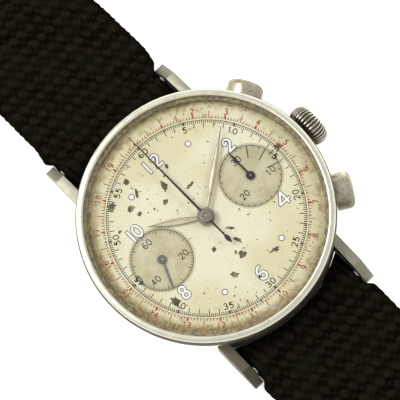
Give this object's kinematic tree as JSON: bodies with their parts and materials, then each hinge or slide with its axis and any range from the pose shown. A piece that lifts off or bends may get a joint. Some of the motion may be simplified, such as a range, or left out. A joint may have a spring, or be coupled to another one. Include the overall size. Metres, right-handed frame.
{
  "type": "chronograph wristwatch",
  "caption": "Round steel two-pusher chronograph wristwatch with a printed dial, two sub-dials, domed crystal and a woven buckle strap laid open.",
  "frame": {"origin": "centre of the case back's flat outer face, which rests on z = 0", "axes": "+Z out of the dial, +Y towards 12 o'clock along the strap, +X towards the crown at 3 o'clock"},
  "size_m": [0.0399, 0.2386, 0.0113],
  "materials": {
    "polished_steel": "satin to polished",
    "movement_steel": "fine brushed",
    "gilt_brass": "gilt, matte",
    "acrylic": "clear, domed",
    "dial_face": "aged silvered cream, printed in dark brown and red",
    "hand_metal": "polished, aged",
    "blued_steel": "dark blued",
    "webbing": "coarse dark basket weave"
  },
  "bodies": {
    "case": {"mid_case": "polished_steel", "bezel": "polished_steel", "case_back": "polished_steel", "movement_ring": "movement_steel", "spring_bar_12": "movement_steel", "spring_bar_6": "movement_steel", "crown_tube": "movement_steel", "start_pusher_tube": "movement_steel", "start_pusher_spring": "movement_steel", "reset_pusher_tube": "movement_steel", "reset_pusher_spring": "movement_steel", "crystal": "acrylic", "dial": "dial_face", "main_plate": "gilt_brass", "barrel_bridge": "gilt_brass", "train_bridge": "gilt_brass", "balance_cock": "gilt_brass", "hairspring": "movement_steel", "chronograph_bridge": "movement_steel", "coupling_lever": "movement_steel"},
    "strap_12_half": {"strap_12": "webbing", "fixed_keeper": "webbing", "buckle_pin": "polished_steel"},
    "strap_6_half": {"strap_6": "webbing"},
    "free_keeper_loop": {"free_keeper": "webbing"},
    "buckle": {"buckle_frame": "polished_steel"},
    "tongue": {"buckle_tongue": "polished_steel"},
    "winding_group": {"winding_pinion": "movement_steel", "sliding_pinion": "movement_steel"},
    "crown_and_stem": {"crown": "polished_steel", "winding_stem": "movement_steel"},
    "crown_wheel_disc": {"crown_wheel": "movement_steel"},
    "barrel_arbor_group": {"barrel_arbor": "movement_steel", "ratchet_wheel": "movement_steel", "mainspring": "movement_steel"},
    "click_lever": {"click": "movement_steel"},
    "setting_lever_arm": {"setting_lever": "movement_steel"},
    "barrel_drum": {"mainspring_barrel": "gilt_brass"},
    "minute_group": {"centre_wheel": "gilt_brass", "cannon_pinion": "movement_steel", "minute_hand": "hand_metal"},
    "third_group": {"third_wheel": "gilt_brass"},
    "fourth_group": {"fourth_wheel": "gilt_brass", "running_seconds_hand": "blued_steel"},
    "escape_group": {"escape_wheel": "movement_steel"},
    "pallet_group": {"pallet_fork": "movement_steel"},
    "balance_group": {"balance_wheel": "gilt_brass"},
    "minute_wheel_group": {"minute_wheel": "gilt_brass"},
    "hour_group": {"hour_wheel": "gilt_brass", "hour_hand": "hand_metal"},
    "coupling_group": {"coupling_wheel": "gilt_brass"},
    "runner_group": {"chronograph_runner": "gilt_brass", "chronograph_hand": "blued_steel"},
    "recorder_group": {"minute_recorder": "gilt_brass", "minute_counter_hand": "blued_steel"},
    "column_group": {"column_wheel": "movement_steel"},
    "start_button": {"start_pusher": "polished_steel"},
    "operating_arm": {"operating_lever": "movement_steel"},
    "reset_button": {"reset_pusher": "polished_steel"},
    "hammer_arm": {"hammer": "movement_steel"}
  },
  "joints": [
    {"name": "strap_12_swing", "type": "hinge", "parent": "case", "child": "strap_12_half", "pos_m": [0, 0.0199, 0.0032], "axis": [1, 0, 0], "range_deg": [-85, 60]},
    {"name": "strap_6_swing", "type": "hinge", "parent": "case", "child": "strap_6_half", "pos_m": [0, -0.0199, 0.0032], "axis": [-1, 0, 0], "range_deg": [-85, 60]},
    {"name": "free_keeper_slide", "type": "slide", "parent": "strap_12_half", "child": "free_keeper_loop", "axis": [0, 1, 0], "range_m": [-0.034, 0.008]},
    {"name": "buckle_swing", "type": "hinge", "parent": "strap_12_half", "child": "buckle", "pos_m": [0, 0.095, 0.00162], "axis": [1, 0, 0], "range_deg": [-60, 90]},
    {"name": "tongue_swing", "type": "hinge", "parent": "buckle", "child": "tongue", "pos_m": [0, 0.095, 0.00162], "axis": [1, 0, 0], "range_deg": [0, 35]},
    {"name": "crown_turn", "type": "hinge", "parent": "case", "child": "winding_group", "pos_m": [0.011, 0, 0.0048], "axis": [1, 0, 0], "continuous": true},
    {"name": "crown_pull", "type": "slide", "parent": "winding_group", "child": "crown_and_stem", "axis": [1, 0, 0], "range_m": [0, 0.0009]},
    {"name": "crown_wheel_turn", "type": "hinge", "parent": "case", "child": "crown_wheel_disc", "pos_m": [0.0115, 0.0025, 0.0025], "axis": [0, 0, -1], "continuous": true},
    {"name": "barrel_arbor_turn", "type": "hinge", "parent": "case", "child": "barrel_arbor_group", "pos_m": [0.00325, 0.00563, 0.0025], "axis": [0, 0, -1], "continuous": true},
    {"name": "setting_lever_turn", "type": "hinge", "parent": "case", "child": "setting_lever_arm", "pos_m": [0.0126, 0.0026, 0.0061], "axis": [0, 0, 1], "range_deg": [0, 18]},
    {"name": "click_turn", "type": "hinge", "parent": "case", "child": "click_lever", "pos_m": [0.0002, 0.0126, 0.0025], "axis": [0, 0, 1], "range_deg": [0, 8], "stiffness_Nm_per_rad": 0.00002},
    {"name": "running_seconds_turn", "type": "hinge", "parent": "case", "child": "fourth_group", "pos_m": [-0.00866, 0, 0.0044], "axis": [0, 0, -1], "continuous": true},
    {"name": "third_wheel_turn", "type": "hinge", "parent": "case", "child": "third_group", "pos_m": [-0.0046, 0.0034, 0.0049], "axis": [0, 0, -1], "continuous": true},
    {"name": "minute_turn", "type": "hinge", "parent": "case", "child": "minute_group", "pos_m": [0, 0, 0.004], "axis": [0, 0, -1], "continuous": true},
    {"name": "barrel_turn", "type": "hinge", "parent": "case", "child": "barrel_drum", "pos_m": [0.00325, 0.00563, 0.0045], "axis": [0, 0, -1], "continuous": true},
    {"name": "escape_wheel_turn", "type": "hinge", "parent": "case", "child": "escape_group", "pos_m": [-0.00731, -0.00372, 0.0046], "axis": [0, 0, -1], "continuous": true},
    {"name": "minute_wheel_turn", "type": "hinge", "parent": "case", "child": "minute_wheel_group", "pos_m": [0.00208, 0.0012, 0.0062], "axis": [0, 0, -1], "continuous": true},
    {"name": "hour_turn", "type": "hinge", "parent": "case", "child": "hour_group", "pos_m": [0, 0, 0.0065], "axis": [0, 0, -1], "continuous": true},
    {"name": "coupling_wheel_turn", "type": "hinge", "parent": "case", "child": "coupling_group", "pos_m": [-0.0045, -0.00143, 0.0018], "axis": [0, 0, -1], "continuous": true},
    {"name": "pallet_fork_turn", "type": "hinge", "parent": "case", "child": "pallet_group", "pos_m": [-0.00576, -0.00617, 0.0046], "axis": [0, 0, -1], "range_deg": [-5, 5]},
    {"name": "balance_turn", "type": "hinge", "parent": "case", "child": "balance_group", "pos_m": [-0.0034, -0.0099, 0.0039], "axis": [0, 0, -1], "range_deg": [-270, 270], "stiffness_Nm_per_rad": 0.0000002},
    {"name": "chronograph_seconds_turn", "type": "hinge", "parent": "case", "child": "runner_group", "pos_m": [0, 0, 0.0018], "axis": [0, 0, -1], "continuous": true},
    {"name": "minute_counter_turn", "type": "hinge", "parent": "case", "child": "recorder_group", "pos_m": [0.00866, 0, 0.0018], "axis": [0, 0, -1], "continuous": true},
    {"name": "column_wheel_turn", "type": "hinge", "parent": "case", "child": "column_group", "pos_m": [0.0096, -0.009, 0.0021], "axis": [0, 0, -1], "continuous": true},
    {"name": "start_push", "type": "slide", "parent": "case", "child": "start_button", "axis": [-0.8572, -0.515, 0], "range_m": [0, 0.001], "stiffness_N_per_m": 1500, "springref_m": -0.001},
    {"name": "operating_lever_turn", "type": "hinge", "parent": "case", "child": "operating_arm", "pos_m": [0.0143, 0.0015, 0.0021], "axis": [0, 0, 1], "range_deg": [0, 8.8]},
    {"name": "reset_push", "type": "slide", "parent": "case", "child": "reset_button", "axis": [-0.8572, 0.515, 0], "range_m": [0, 0.001], "stiffness_N_per_m": 1500, "springref_m": -0.001},
    {"name": "hammer_turn", "type": "hinge", "parent": "case", "child": "hammer_arm", "pos_m": [0.0099, -0.0039, 0.0015], "axis": [0, 0, -1], "range_deg": [0, 11]}
  ],
  "couplings": [
    {"joint": "third_wheel_turn", "follows": "running_seconds_turn", "ratio": -0.125},
    {"joint": "minute_turn", "follows": "running_seconds_turn", "ratio": 0.016667},
    {"joint": "barrel_turn", "follows": "running_seconds_turn", "ratio": -0.0027778},
    {"joint": "escape_wheel_turn", "follows": "running_seconds_turn", "ratio": -10},
    {"joint": "minute_wheel_turn", "follows": "running_seconds_turn", "ratio": -0.0055556},
    {"joint": "hour_turn", "follows": "running_seconds_turn", "ratio": 0.0013889},
    {"joint": "coupling_wheel_turn", "follows": "running_seconds_turn", "ratio": -1.9},
    {"joint": "minute_counter_turn", "follows": "chronograph_seconds_turn", "ratio": 0.033333},
    {"joint": "crown_wheel_turn", "follows": "crown_turn", "ratio": 0.57143},
    {"joint": "barrel_arbor_turn", "follows": "crown_turn", "ratio": -0.36364},
    {"joint": "setting_lever_turn", "follows": "crown_pull", "rad_per_m": 349},
    {"joint": "operating_lever_turn", "follows": "start_push", "rad_per_m": 153.5},
    {"joint": "hammer_turn", "follows": "reset_push", "rad_per_m": 191.9}
  ]
}
